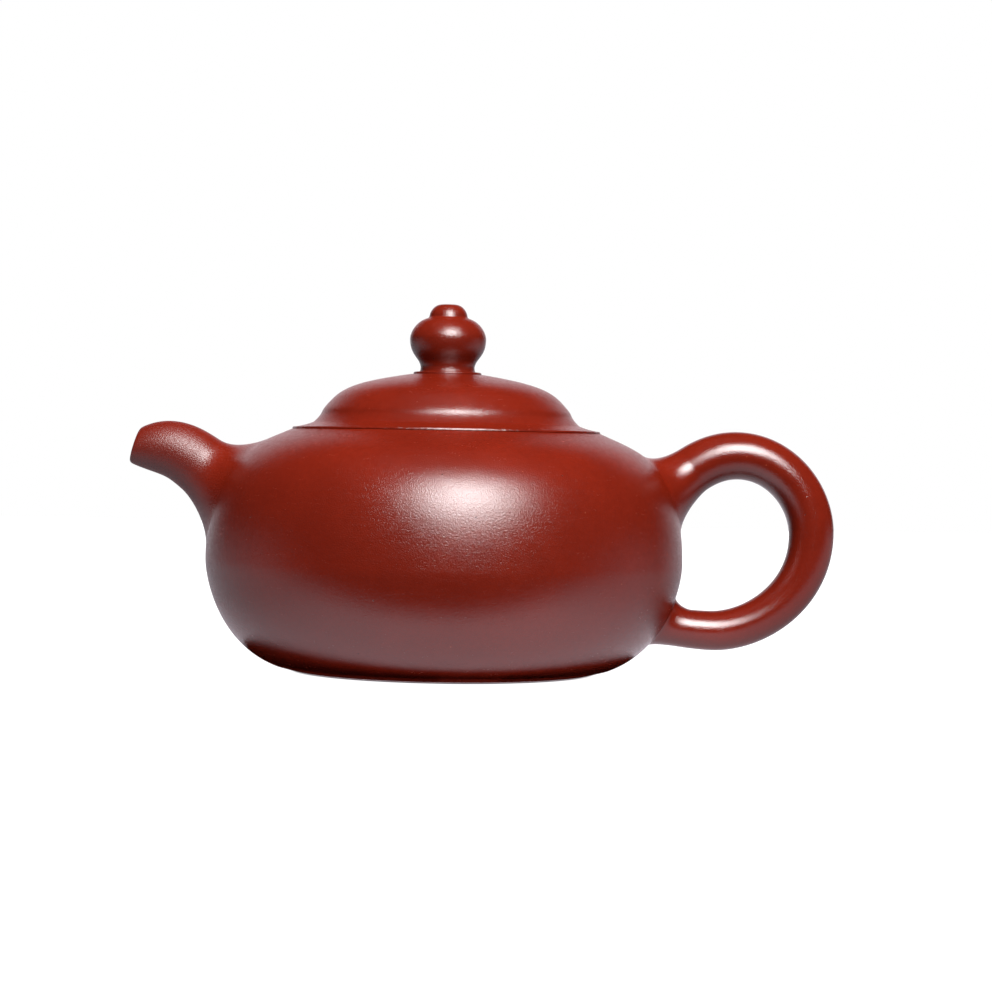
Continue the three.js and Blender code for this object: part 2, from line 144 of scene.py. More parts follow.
FLANGE_WALL = 2.4
FLANGE_BEVEL = 0.6
FLANGE_BEVEL_HEIGHT = 1.2
BRIM_EDGE = 0.33
BRIM_LEAN = 0.11
BRIM_TOP_RADIUS = 25.3
BRIM_DROP = 0.08
BRIM_SAG_OUT = (-1.4, 0.16)
BRIM_SAG_IN = (1.1, -0.44)
DOME_SEAT_RADIUS = 7.0
DOME_RISE = math.radians(60)
DOME_PULL = 6.7
DOME_TOP_SLOPE = math.radians(8.8)
DOME_TOP_PULL = 13.4
DOME_FREE_HEIGHT = 51.2
DOME_STEEP = (23.64, 48.9)
DOME_STEEP_SLOPE = math.radians(70)
HOLLOW_FOOT = (25.7, 46.62)
HOLLOW_PULL = 0.7
STEEP_PULL = 0.8
VENT_RADIUS = 1.0
NECK_RADIUS = 5.12
NECK_TOP = KNOB_FOOT
KNOB_HOLLOW = (5.35, 59.4)
KNOB_BELLY = 63.0
KNOB_PULL_BELOW = 3.1
KNOB_PULL_ABOVE = 1.5
KNOB_SHOULDER = (5.8, 66.6)
BEAD_FLAT_RADIUS = 1.3
BEAD_SHOULDER_RADIUS = 2.8
COLLAR_RING_HEIGHT = 0.46

STRAINER_RADIUS = 8.3
STRAINER_WALL = 1.7
STRAINER_HOLE_RADIUS = 1.0
STRAINER_HOLE_RINGS = [(0, 1), (27, 6), (54, 12)]

TURN_STEPS = 192
EDGE_TURN_STEPS = 768
KNOB_TURN_STEPS = 160
RING_STEPS = 96
SHARP_ANGLE = math.radians(38)
SPOUT_BRUSHED = (-56.0, -46.0)
INSIDE_DEPTH = 0.3 * WALL
EDGE_WAVES = [5, 9, 14, 23, 37, 52, 71, 88, 103, 131, 150]


# ---- Curves ------------------------------------------------------------------------------

def bezier(control, t):
    """Points of a cubic Bezier at the shares t, for control points or plain values."""
    p = np.array(control, float)
    t = np.asarray(t, float)
    if p.ndim == 2:
        t = t[..., None]
    s = 1 - t
    return s**3 * p[0] + 3 * s * s * t * p[1] + 3 * s * t * t * p[2] + t**3 * p[3]


def resample(points, count):
    """The points of a polyline, evenly spaced along it."""
    points = np.asarray(points, float)
    length = np.concatenate([[0], np.cumsum(np.linalg.norm(np.diff(points, axis=0), axis=1))])
    at = np.linspace(0, length[-1], count)
    return np.stack([np.interp(at, length, points[:, k]) for k in range(points.shape[1])], 1)


def rounded(corners, radii, steps=6):
    """A closed outline in which each corner with a radius becomes an arc."""
    out = []
    count = len(corners)
    for i in range(count):
        here = np.array(corners[i], float)
        radius = radii[i]
        if radius <= 0:
            out.append(here)
            continue
        before = np.array(corners[i - 1], float) - here
        after = np.array(corners[(i + 1) % count], float) - here
        a = before / np.linalg.norm(before)
        b = after / np.linalg.norm(after)
        half = math.acos(float(np.clip(a @ b, -1, 1))) / 2
        if half > math.radians(88):
            out.append(here)
            continue
        reach = radius / math.tan(half)
        reach = min(reach, 0.48 * np.linalg.norm(before), 0.48 * np.linalg.norm(after))
        start = here + a * reach
        end = here + b * reach
        for t in np.linspace(0, 1, steps + 1):
            out.append((1 - t) ** 2 * start + 2 * t * (1 - t) * here + t * t * end)
    return np.array(out)


class BodyProfile:
    """The body's outer line from the foot to the rim, by distance along it."""

    def __init__(self):
        t = np.linspace(0, 1, 1500)
        foot_hand = (FOOT_RADIUS + FOOT_PULL * math.cos(FOOT_RISE), FOOT_PULL * math.sin(FOOT_RISE))
        rim_hand = (RIM_RADIUS + RIM_PULL * math.cos(RIM_SLOPE),
                    RIM_HEIGHT - RIM_PULL * math.sin(RIM_SLOPE))
        lower = bezier([(FOOT_RADIUS, 0), foot_hand,
                        (BELLY_RADIUS, BELLY_HEIGHT - BELLY_PULL_BELOW),
                        (BELLY_RADIUS, BELLY_HEIGHT)], t)
        upper = bezier([(BELLY_RADIUS, BELLY_HEIGHT),
                        (BELLY_RADIUS, BELLY_HEIGHT + BELLY_PULL_ABOVE),
                        rim_hand, (RIM_RADIUS, RIM_HEIGHT)], t)
        self.points = resample(np.vstack([lower, upper[1:]]), 4000)
        steps = np.linalg.norm(np.diff(self.points, axis=0), axis=1)
        self.at = np.concatenate([[0], np.cumsum(steps)])
        self.length = float(self.at[-1])
        along = np.gradient(self.points, self.at, axis=0)
        self.along = along / np.linalg.norm(along, axis=1, keepdims=True)

    def _pick(self, table, s):
        s = np.clip(s, 0, self.length)
        return np.stack([np.interp(s, self.at, table[:, k]) for k in (0, 1)], -1)

    def point(self, s, depth=0.0):
        """(radius, height) at distance s, moved inward by a depth."""
        at = self._pick(self.points, s)
        along = self._pick(self.along, s)
        inward = np.stack([-along[..., 1], along[..., 0]], -1)
        return at + inward * np.asarray(depth)[..., None]

    def normal(self, s):
        """The outward normal (radial, up) at distance s."""
        along = self._pick(self.along, s)
        return np.stack([along[..., 1], -along[..., 0]], -1)

    def at_height(self, z):
        return float(np.interp(z, self.points[:, 1], self.at))

    def at_radius_above(self, radius):
        upper = self.points[:, 1] > BELLY_HEIGHT
        r = self.points[upper, 0][::-1]
        return float(np.interp(radius, r, self.at[upper][::-1]))


profile = BodyProfile()
SHOULDER_SEAM = profile.at_radius_above(SHOULDER_SEAM_RADIUS)
RIM_SEAM = profile.at_radius_above(RIM_SEAM_RADIUS)


# ---- Meshes ------------------------------------------------------------------------------

def to_frame(points):
    """Millimetres round the pot's axis to metres in the frame."""
    points = np.array(points, float)
    points[..., 0] += AXIS_X
    return points * MM


def signed_volume(verts, faces):
    """The volume inside the faces, below zero if they face inward."""
    total = 0.0
    by_count = {}
    for face in faces:
        by_count.setdefault(len(face), []).append(face)
    for group in by_count.values():
        corners = verts[np.array(group)]
        for k in range(1, corners.shape[1] - 1):
            cross = np.cross(corners[:, k], corners[:, k + 1])
            total += float((corners[:, 0] * cross).sum())
    return total / 6


def make_mesh(name, verts, faces):
    verts = to_frame(verts)
    if signed_volume(verts, faces) < 0:
        faces = [face[::-1] for face in faces]
    mesh = bpy.data.meshes.new(name)
    mesh.from_pydata(verts.tolist(), [], [tuple(int(k) for k in face) for face in faces])
    piece = bpy.data.objects.new(name, mesh)
    bpy.context.scene.collection.objects.link(piece)
    return piece


def subtract(piece, cutter):
    """Cuts one mesh out of another, which keeps its name."""
    modifier = piece.modifiers.new("cut", "BOOLEAN")
    modifier.operation = "DIFFERENCE"
    modifier.solver = "EXACT"
    modifier.object = cutter
    shaped = piece.evaluated_get(bpy.context.evaluated_depsgraph_get())
    mesh = bpy.data.meshes.new_from_object(shaped)
    piece.modifiers.clear()
    old = piece.data
    piece.data = mesh
    bpy.data.meshes.remove(old)
    mesh.name = piece.name
    bpy.data.meshes.remove(cutter.data)


def dress(piece, outside, inside=None, is_inside=None):
    """Gives a piece its clay. Faces whose middle (x, y and height in millimetres round the
    pot's axis) passes is_inside get the second clay. Edges sharper than SHARP_ANGLE stay
    crisp."""
    mesh = piece.data
    mesh.materials.clear()
    mesh.materials.append(outside)
    count = len(mesh.polygons)
    if is_inside is not None:
        mesh.materials.append(inside)
        middles = np.empty(count * 3)
        mesh.polygons.foreach_get("center", middles)
        middles = middles.reshape(-1, 3) / MM
        middles[:, 0] -= AXIS_X
        mesh.polygons.foreach_set("material_index", is_inside(middles).astype(int))
    mesh.polygons.foreach_set("use_smooth", [True] * count)
    mesh.set_sharp_from_angle(angle=SHARP_ANGLE)
    mesh.update()


def grid_faces(rows, columns, close_rows=False):
    """Quads between rings of points: columns run round each ring, rows from ring to ring."""
    faces = []
    last = rows if close_rows else rows - 1
    for i in range(last):
        a = i * columns
        b = (i + 1) % rows * columns
        for j in range(columns):
            k = (j + 1) % columns
            faces.append((a + j, a + k, b + k, b + j))
    return faces


def revolve(section, steps=TURN_STEPS):
    """Vertices and quads of a ring of revolution; the section closes on itself and runs
    counter-clockwise in (radius, height)."""
    section = np.asarray(section, float)
    angles = np.linspace(0, 2 * math.pi, steps, endpoint=False)
    rings = np.stack([
        np.outer(section[:, 0], np.cos(angles)),
        np.outer(section[:, 0], np.sin(angles)),
        np.repeat(section[:, 1:2], steps, axis=1),
    ], -1)
    return rings.reshape(-1, 3), grid_faces(len(section), steps, close_rows=True)


def revolve_disc(section, steps=TURN_STEPS):
    """The same for a section that starts and ends on the axis, which become single points."""
    section = np.asarray(section, float)
    verts, faces = revolve(section[1:-1], steps)
    rows = len(section) - 2
    return close_ends(verts, faces[:(rows - 1) * steps], rows, steps,
                      [0, 0, section[0][1]], [0, 0, section[-1][1]])


def close_ends(verts, faces, rows, steps, low_point, high_point):
    """Closes the first and the last ring of a stack of rings on a point each."""
    low, high = len(verts), len(verts) + 1
    verts = np.vstack([verts, [low_point, high_point]])
    top = (rows - 1) * steps
    faces = list(faces)
    for j in range(steps):
        k = (j + 1) % steps
        faces.append((low, k, j))
        faces.append((high, top + j, top + k))
    return verts, faces


def wobble(angles, seed, waves, amount):
    """An uneven line round the pot: waves of about these counts per turn, of this size."""
    rng = np.random.default_rng(seed)
    line = np.zeros_like(angles)
    for count in waves:
        line += np.cos(count * angles + rng.uniform(0, 2 * math.pi)) * rng.uniform(0.5, 1)
    return amount * line / math.sqrt(len(waves) / 2)


def roughen_edge(verts, seed, radius, reach, amount):
    """Moves the points near an edge of this radius in and out by an uneven hair's breadth, as
    a trimmed clay edge is."""
    at = np.hypot(verts[:, 0], verts[:, 1])
    angles = np.arctan2(verts[:, 1], verts[:, 0])
    share = np.clip(1 - (radius - at) / reach, 0, 1)
    out = share * wobble(angles, seed, EDGE_WAVES, amount)
    up = share * wobble(angles, seed + 1, EDGE_WAVES, 0.5 * amount)
    moved = verts.copy()
    moved[:, :2] *= (1 + out / np.maximum(at, 1e-6))[:, None]
    moved[:, 2] += up
    return moved


def tube_ring(centre, along, radius, width=1.0, lean=0.0, steps=RING_STEPS):
    """A ring round a path in the X-Z plane, first point on the path's left seen from -Y."""
    angle = np.linspace(0, 2 * math.pi, steps, endpoint=False)[:, None]
    out = np.array([-along[1], 0, along[0]])
    forward = np.array([along[0], 0, along[1]])
    across = np.array([0, -1, 0])
    centre = np.array([centre[0], 0, centre[1]])
    return (centre + radius * np.cos(angle) * (out + lean * forward)
            + radius * width * np.sin(angle) * across)


class Path:
    """A path in the X-Z plane through Bezier stretches, by share of its length."""

    def __init__(self, stretches):
        t = np.linspace(0, 1, 600)
        parts = [bezier(c, t)[(1 if i else 0):] for i, c in enumerate(stretches)]
        points = np.vstack(parts)
        steps = np.linalg.norm(np.diff(points, axis=0), axis=1)
        at = np.concatenate([[0], np.cumsum(steps)])
        self.length = at[-1]
        self.share = at / at[-1]
        self.points = points
        along = np.gradient(points, at, axis=0)
        self.along = along / np.linalg.norm(along, axis=1, keepdims=True)
        self.joints = [0.0]
        count = 0
        for part in parts:
            count += len(part)
            self.joints.append(float(self.share[count - 1]))

    def point(self, t):
        return np.array([np.interp(t, self.share, self.points[:, k]) for k in (0, 1)])

    def tangent(self, t):
        along = np.array([np.interp(t, self.share, self.along[:, k]) for k in (0, 1)])
        return along / np.linalg.norm(along)


def skin(s, sideways, direction, depth=0.0):
    """Points on the body's skin: distance s up the profile and a sideways distance from the
    handle's (+1) or the spout's (-1) middle line."""
    at = profile.point(s, depth)
    angle = sideways / profile.point(s)[..., 0]
    return np.stack([direction * at[..., 0] * np.cos(angle),
                     at[..., 0] * np.sin(angle), at[..., 1]], -1)


def landing(root, grow=1.0, depth=0.0, steps=RING_STEPS):
    """Where a root lands on the body: an ellipse on the skin with its own reach each way."""
    angle = np.linspace(0, 2 * math.pi, steps, endpoint=False)
    upward = np.cos(angle) * root["first"]
    reach = np.where(upward > 0, root["up"], root["down"])
    s = profile.at_height(root["height"]) + grow * upward * reach
    sideways = -grow * root["side"] * np.sin(angle)
    return skin(s, sideways, root["direction"], np.full_like(s, depth))


def root_rings(ring, leave, root, steps):
    """Rings that carry a tube into the body in a smooth hollow curve: each line leaves the
    tube along the tube and reaches the skin along the skin."""
    foot = landing(root, depth=ROOT_SINK)
    arrive = landing(root, 1.02, depth=ROOT_SINK) - foot
    arrive *= root["skin_pull"] / np.linalg.norm(arrive, axis=1, keepdims=True)
    leave = leave * root["tube_pull"] / np.linalg.norm(leave, axis=1, keepdims=True)
    rings = []
    for t in np.linspace(0, 1, steps + 1)[1:]:
        a = 2 * t**3 - 3 * t**2 + 1
        b = t**3 - 2 * t**2 + t
        c = t**3 - t**2
        rings.append(ring * a + leave * b + foot * (1 - a) + arrive * c)
    return rings


# ---- The body's pieces -------------------------------------------------------------------

def shell_lines(start, end, outer_count, inner_count):
    """The skin from one place on the profile to another, and the wall's inner face back."""
    outer = profile.point(np.linspace(start, end, outer_count))
    s = np.linspace(end, start, inner_count)
    return outer, profile.point(s, np.full_like(s, WALL))


def make_base_disc():
    """The pressed-in base: very slightly domed up in the middle."""
    low, high = bottom_of("base_disc"), top_of("base_disc")
    radii = np.linspace(0, BASE_RADIUS + HALF_SEAM, 40)
    dome = BASE_DOME * (1 - (radii / radii[-1]) ** 2)
    under = np.stack([radii, low + dome], 1)
    over = np.stack([radii[::-1], high + 0.4 * dome[::-1]], 1)
    return revolve_disc(np.vstack([under, over]))


def make_body_wall():
    outer, inner = shell_lines(0, SHOULDER_SEAM, 150, 90)
    floor = inner[-1][1]
    foot_edge = rounded([(FOOT_INNER_RADIUS - HALF_SEAM, floor), (FOOT_INNER_RADIUS - HALF_SEAM, 0),
                         tuple(outer[0]), tuple(outer[12])], [0, 0.5, 0.45, 0])
    return revolve(np.vstack([foot_edge[1:-1], outer[12:], inner]))


def make_shoulder_disc():
    outer, inner = shell_lines(SHOULDER_SEAM, RIM_SEAM, 30, 16)
    return revolve(np.vstack([outer, inner]))


def make_mouth_ring():
    outer, inner = shell_lines(RIM_SEAM, profile.length, 6, 3)
    corners = [tuple(outer[0]), tuple(outer[-1]), (RIM_RADIUS - 0.05, RIM_TOP),
               (MOUTH_RADIUS, RIM_TOP), (MOUTH_RADIUS, RIM_HEIGHT - WALL),
               tuple(inner[0]), tuple(inner[-1])]
    section = rounded(corners, [0, 0.12, 0.08, 0.5, 0.8, 0, 0], steps=8)
    verts, faces = revolve(section, EDGE_TURN_STEPS)
    return roughen_edge(verts, 11, RIM_RADIUS, 0.6, 0.02), faces


# ---- Spout, strainer and handle ----------------------------------------------------------

spout_path = Path([SPOUT_PATH])


def spout_ring(t, radii=SPOUT_RADII):
    """A ring round the spout's path, which leans back near the tip."""
    fade = max(0.0, 1 - t / SPOUT_LEAN_REACH) ** 2
    return tube_ring(spout_path.point(t), spout_path.tangent(t), float(bezier(radii, t)),
                     lean=SPOUT_LEAN * fade)


def bore_ring(t):
    return spout_ring(t, BORE_RADII)


def height_above_skin(points):
    """How far points lie outside the body's skin, along its normal, and where on the profile
    they are nearest to."""
    points = np.atleast_2d(points)
    at = np.stack([np.hypot(points[:, 0], points[:, 1]), points[:, 2]], 1)
    gap = ((at[:, None] - profile.points[None, ::4]) ** 2).sum(-1)
    s = profile.at[::4][gap.argmin(1)]
    return ((at - profile.point(s)) * profile.normal(s)).sum(1), s


def hole_ring():
    """The spout's hole where its channel crosses the body's skin."""
    forward = np.array([spout_path.tangent(1.0)[0], 0, spout_path.tangent(1.0)[1]])
    ring = bore_ring(1.0)
    near = np.full(len(ring), -14.0)
    far = np.full(len(ring), 14.0)
    for _ in range(30):
        middle = (near + far) / 2
        inside = height_above_skin(ring + middle[:, None] * forward)[0] < 0
        far = np.where(inside, middle, far)
        near = np.where(inside, near, middle)
    return ring + middle[:, None] * forward


def lip_rings():
    """The rounded lip of the spout, from its outside round to the channel."""
    share = LIP_ROUNDING / spout_path.length
    outer, inner = spout_ring(share), bore_ring(share)
    outer_tip, inner_tip = spout_ring(0.0), bore_ring(0.0)
    middle = (outer_tip + inner_tip) / 2
    rings = []
    for start, corner, end in ((outer, outer_tip, middle), (middle, inner_tip, inner)):
        for t in np.linspace(0, 1, 7):
            rings.append((1 - t) ** 2 * start + 2 * t * (1 - t) * corner + t * t * end)
    return rings[:6] + rings[7:]


def make_spout():
    """A closed tube: root face, outer skin, lip and channel."""
    free = [spout_ring(t) for t in np.linspace(0.04, SPOUT_FREE, 46)]
    leave = spout_ring(SPOUT_FREE + 0.004) - free[-1]
    root = root_rings(free[-1], leave, SPOUT_ROOT, 36)
    hole = hole_ring()
    face = [root[-1] * (1 - t) + hole * t for t in (0.33, 0.67)]
    face = [pull_to_skin(ring, ROOT_SINK) for ring in face]
    channel = [bore_ring(t) for t in np.linspace(0.90, 0.045, 34)]
    lip = lip_rings()[::-1]
    rings = lip[-1:] + free + root + face + [hole] + channel + lip[:-1]
    verts = np.vstack(rings)
    return verts, grid_faces(len(rings), RING_STEPS, close_rows=True)


def pull_to_skin(ring, depth):
    """The same points moved along the skin's normal to a depth under it."""
    height, s = height_above_skin(ring)
    n = profile.normal(s)
    r = np.hypot(ring[:, 0], ring[:, 1])
    normal = np.stack([n[:, 0] * ring[:, 0] / r, n[:, 0] * ring[:, 1] / r, n[:, 1]], 1)
    return ring - normal * (height + depth)[:, None]


def make_strainer():
    """A dome of clay over the inner end of the spout's hole, whose edge lies on the wall."""
    inward, up = spout_axes()
    centre = np.array([spout_path.point(1.0)[0], 0, spout_path.point(1.0)[1]])
    turn = np.linspace(0, 2 * math.pi, RING_STEPS, endpoint=False)
    side = np.cos(turn)[:, None] * up - np.sin(turn)[:, None] * np.array([0, 1, 0])

    def ring(radius, tilt):
        tilt = np.broadcast_to(tilt, turn.shape)[:, None]
        return centre + radius * (np.cos(tilt) * inward + np.sin(tilt) * side)

    def edge(radius):
        near, far = np.zeros_like(turn), np.full_like(turn, math.radians(150))
        for _ in range(24):
            middle = (near + far) / 2
            inside = height_above_skin(ring(radius, middle))[0] < -WALL
            near = np.where(inside, middle, near)
            far = np.where(inside, far, middle)
        return near

    inner_radius = STRAINER_RADIUS - STRAINER_WALL
    outer_edge, inner_edge = edge(STRAINER_RADIUS), edge(inner_radius)
    shares = np.linspace(0, 1, 26)[1:]
    rings = [ring(STRAINER_RADIUS, outer_edge * t) for t in shares]
    rings += [ring(inner_radius, inner_edge * t) for t in shares[::-1]]
    faces = grid_faces(len(rings), RING_STEPS)
    return close_ends(np.vstack(rings), faces, len(rings), RING_STEPS,
                      centre + STRAINER_RADIUS * inward, centre + inner_radius * inward)


def spout_axes():
    """The spout's direction into the pot and the one across it in the pot's plane."""
    x, z = spout_path.tangent(1.0)
    return np.array([x, 0, z]), np.array([-z, 0, x])


def make_strainer_pins(sides=20):
    """The pins that pierce the strainer's holes."""
    inward, up = spout_axes()
    across = np.array([0, -1, 0])
    centre = np.array([spout_path.point(1.0)[0], 0, spout_path.point(1.0)[1]])
    verts, faces = [], []
    angles = np.linspace(0, 2 * math.pi, sides, endpoint=False)[:, None]
    for tilt, count in STRAINER_HOLE_RINGS:
        for turn in np.linspace(0, 2 * math.pi, count, endpoint=False):
            out = math.cos(turn) * up + math.sin(turn) * across
            tilt_angle = math.radians(tilt)
            along = math.cos(tilt_angle) * inward + math.sin(tilt_angle) * out
            a = math.cos(tilt_angle) * out - math.sin(tilt_angle) * inward
            b = np.cross(along, a)
            circle = STRAINER_HOLE_RADIUS * (np.cos(angles) * a + np.sin(angles) * b)
            first = len(verts) * sides
            for reach in (STRAINER_RADIUS - 2 * STRAINER_WALL, STRAINER_RADIUS + STRAINER_WALL):
                verts.append(centre + reach * along + circle)
            faces += [tuple(first + k for k in face) for face in grid_faces(2, sides)]
            faces.append(tuple(first + k for k in reversed(range(sides))))
            faces.append(tuple(first + sides + k for k in range(sides)))
    return np.vstack(verts), faces


def make_wall_hole():
    """The plug that opens the wall behind the spout."""
    inward = spout_axes()[0]
    ring = bore_ring(1.0)
    verts = np.vstack([ring - WALL_HOLE_REACH * inward, ring + WALL_HOLE_REACH * inward])
    faces = grid_faces(2, RING_STEPS)
    faces.append(tuple(reversed(range(RING_STEPS))))
    faces.append(tuple(range(RING_STEPS, 2 * RING_STEPS)))
    return verts, faces


def make_handle_path():
    def ahead(place, distance):
        heading = math.radians(place["heading"])
        return (place["at"][0] + distance * math.cos(heading),
                place["at"][1] + distance * math.sin(heading))

    return Path([
        [a["at"], ahead(a, a["after"]), ahead(b, -b["before"]), b["at"]]
        for a, b in zip(HANDLE_PLACES, HANDLE_PLACES[1:])
    ])


handle_path = make_handle_path()


def handle_ring(t):
    radius = smooth_radius(t)
    return tube_ring(handle_path.point(t), handle_path.tangent(t), radius, width=HANDLE_WIDTH)


def smooth_radius(t):
    """The handle's radius at a share of its length, eased a little between its places."""
    radii = [place["radius"] for place in HANDLE_PLACES]
    window = np.linspace(-0.06, 0.06, 9)
    return float(np.mean(np.interp(t + window, handle_path.joints, radii)))


def make_handle():
    """A closed loop of clay with a widened root at each end."""
    start, end = HANDLE_FREE
    free = [handle_ring(t) for t in np.linspace(start, end, 150)]
    crest = root_rings(free[0], handle_ring(start - 0.002) - free[0], CREST_ROOT, 30)
    low = root_rings(free[-1], handle_ring(end + 0.002) - free[-1], LOW_ROOT, 18)
    rings = crest[::-1] + free + low
    verts = np.vstack(rings)
    faces = grid_faces(len(rings), RING_STEPS)
    for root, edge, flip in ((CREST_ROOT, 0, True), (LOW_ROOT, len(rings) - 1, False)):
        before = edge * RING_STEPS
        for grow in (0.7, 0.4, 0.15):
            inner = landing(root, grow, depth=ROOT_SINK)
            at = len(verts)
            verts = np.vstack([verts, inner])
            for j in range(RING_STEPS):
                k = (j + 1) % RING_STEPS
                quad = (before + j, before + k, at + k, at + j)
                faces.append(quad[::-1] if flip else quad)
            before = at
        cap = tuple(range(before, before + RING_STEPS))
        faces.append(cap[::-1] if flip else cap)
    return verts, faces


# ---- Lid and knob ------------------------------------------------------------------------

def brim_line():
    """The brim's top line, from its edge to the foot of the dome. It sags a little."""
    edge = np.array([BRIM_RADIUS - BRIM_LEAN, LID_SEAT + BRIM_EDGE])
    foot = np.array([BRIM_TOP_RADIUS, BRIM_TOP - BRIM_DROP])
    return bezier([edge, edge + BRIM_SAG_OUT, foot + BRIM_SAG_IN, foot], np.linspace(0, 1, 9))


def make_lid_disc():
    """The lid's flat disc, whose sloping edge is the brim."""
    inner = FLANGE_RADIUS - FLANGE_WALL
    corners = [(inner, LID_SEAT), (BRIM_RADIUS, LID_SEAT),
               *brim_line().tolist(), (DOME_RADIUS - 1, BRIM_TOP), (inner, BRIM_TOP)]
    section = rounded(corners, [0.2, 0.04, 0.12] + [0] * (len(corners) - 3), steps=8)
    verts, faces = revolve(section, EDGE_TURN_STEPS)
    return roughen_edge(verts, 23, BRIM_RADIUS, 0.7, 0.035), faces


def dome_lines():
    """The dome's outer line, which is steepest just above the hollow where it meets the brim,
    and its inner line."""
    rise, slope = DOME_RISE, DOME_TOP_SLOPE
    control = [(DOME_RADIUS, BRIM_TOP),
               (DOME_RADIUS - DOME_PULL * math.cos(rise), BRIM_TOP + DOME_PULL * math.sin(rise)),
               (DOME_SEAT_RADIUS + DOME_TOP_PULL * math.cos(slope),
                DOME_TOP - DOME_TOP_PULL * math.sin(slope)),
               (DOME_SEAT_RADIUS, DOME_TOP)]
    outer = resample(bezier(control, np.linspace(0, 1, 400)), 110)
    along = np.gradient(outer, axis=0)
    along /= np.linalg.norm(along, axis=1, keepdims=True)
    inner = outer + np.stack([-along[:, 1], along[:, 0]], 1) * WALL
    inner = inner[inner[:, 1] > BRIM_TOP]
    free = outer[outer[:, 1] > DOME_FREE_HEIGHT]
    down = np.array([math.cos(DOME_STEEP_SLOPE), -math.sin(DOME_STEEP_SLOPE)])
    before = free[0] - free[1]
    before /= np.linalg.norm(before)
    brim = np.array(BRIM_SAG_IN) / np.linalg.norm(BRIM_SAG_IN)
    steep, foot = np.array(DOME_STEEP), np.array(HOLLOW_FOOT)
    t = np.linspace(0, 1, 12)
    turn = bezier([steep, steep - STEEP_PULL * down, free[0] + 0.7 * before, free[0]], t)
    hollow = bezier([foot, foot - HOLLOW_PULL * brim, steep + STEEP_PULL * down, steep], t)
    return np.vstack([hollow[:-1], turn[:-1], free]), inner


def make_lid_dome():
    outer, inner = dome_lines()
    first = np.array([[inner[0][0], BRIM_TOP - 0.02]])
    inner = np.vstack([first, inner])[::-2]
    seat = [(VENT_RADIUS, DOME_TOP), (VENT_RADIUS, inner[0][1])]
    return revolve(np.vstack([outer, seat, inner, first]))


def make_lid_flange():
    inner = FLANGE_RADIUS - FLANGE_WALL
    bottom, top = bottom_of("lid_flange"), LID_SEAT
    corners = [(inner, bottom), (FLANGE_RADIUS - FLANGE_BEVEL, bottom),
               (FLANGE_RADIUS, bottom + FLANGE_BEVEL_HEIGHT),
               (FLANGE_RADIUS, top), (inner, top)]
    return revolve(rounded(corners, [0.8, 0.5, 0.8, 0, 0]))


def make_knob_collar():
    """A thin ring with the foot of the neck on it, and a groove where they meet."""
    ring_top = DOME_TOP + COLLAR_RING_HEIGHT
    edge = COLLAR_RADIUS + 0.08
    ring = bezier([(COLLAR_RADIUS - 0.15, DOME_TOP - 0.05), (edge, DOME_TOP - 0.02),
                   (edge, ring_top - 0.02), (COLLAR_RADIUS - 0.3, ring_top)],
                  np.linspace(0, 1, 14))
    groove = (NECK_RADIUS + 0.2, ring_top + 0.06)
    neck = bezier([(groove[0] - 0.02, groove[1] + 0.05), (NECK_RADIUS + 0.06, groove[1] + 0.15),
                   (NECK_RADIUS, groove[1] + 0.4), (NECK_RADIUS, NECK_TOP)],
                  np.linspace(0, 1, 16))
    return revolve(np.vstack([[(VENT_RADIUS, DOME_TOP - 0.05)], ring, [groove], neck,
                              [(VENT_RADIUS, NECK_TOP)]]), steps=KNOB_TURN_STEPS)


def make_knob():
    t = np.linspace(0, 1, 28)
    side = bezier([(NECK_RADIUS + 0.04, KNOB_FOOT), KNOB_HOLLOW,
                   (KNOB_RADIUS, KNOB_BELLY - KNOB_PULL_BELOW), (KNOB_RADIUS, KNOB_BELLY)], t)
    crown = bezier([(KNOB_RADIUS, KNOB_BELLY), (KNOB_RADIUS, KNOB_BELLY + KNOB_PULL_ABOVE),
                    KNOB_SHOULDER, (BEAD_RADIUS + 0.1, KNOB_TOP)], t)
    return revolve(np.vstack([[(VENT_RADIUS, KNOB_FOOT)], side, crown[1:],
                              [(VENT_RADIUS, KNOB_TOP)]]), steps=KNOB_TURN_STEPS)


def make_knob_finial():
    """The bead, whose foot is smoothed out over the knob."""
    foot = [(VENT_RADIUS, KNOB_TOP - 0.2), (BEAD_RADIUS + 0.6, KNOB_TOP - 0.2)]
    flare = bezier([(BEAD_RADIUS + 0.7, KNOB_TOP - 0.17), (BEAD_RADIUS + 0.24, KNOB_TOP - 0.03),
                    (BEAD_RADIUS + 0.04, KNOB_TOP + 0.1), (BEAD_RADIUS - 0.02, KNOB_TOP + 0.5)],
                   np.linspace(0, 1, 12))
    dome = bezier([flare[-1], (BEAD_RADIUS - 0.1, KNOB_TOP + 1.15),
                   (BEAD_SHOULDER_RADIUS, BEAD_TOP - 0.05), (BEAD_FLAT_RADIUS, BEAD_TOP)],
                  np.linspace(0, 1, 26))
    vent = [(VENT_RADIUS + 0.1, BEAD_TOP - 0.04), (VENT_RADIUS, BEAD_TOP - 0.2)]
    return revolve(np.vstack([foot, flare, dome[1:], vent]), steps=KNOB_TURN_STEPS)


# ---- Clay --------------------------------------------------------------------------------

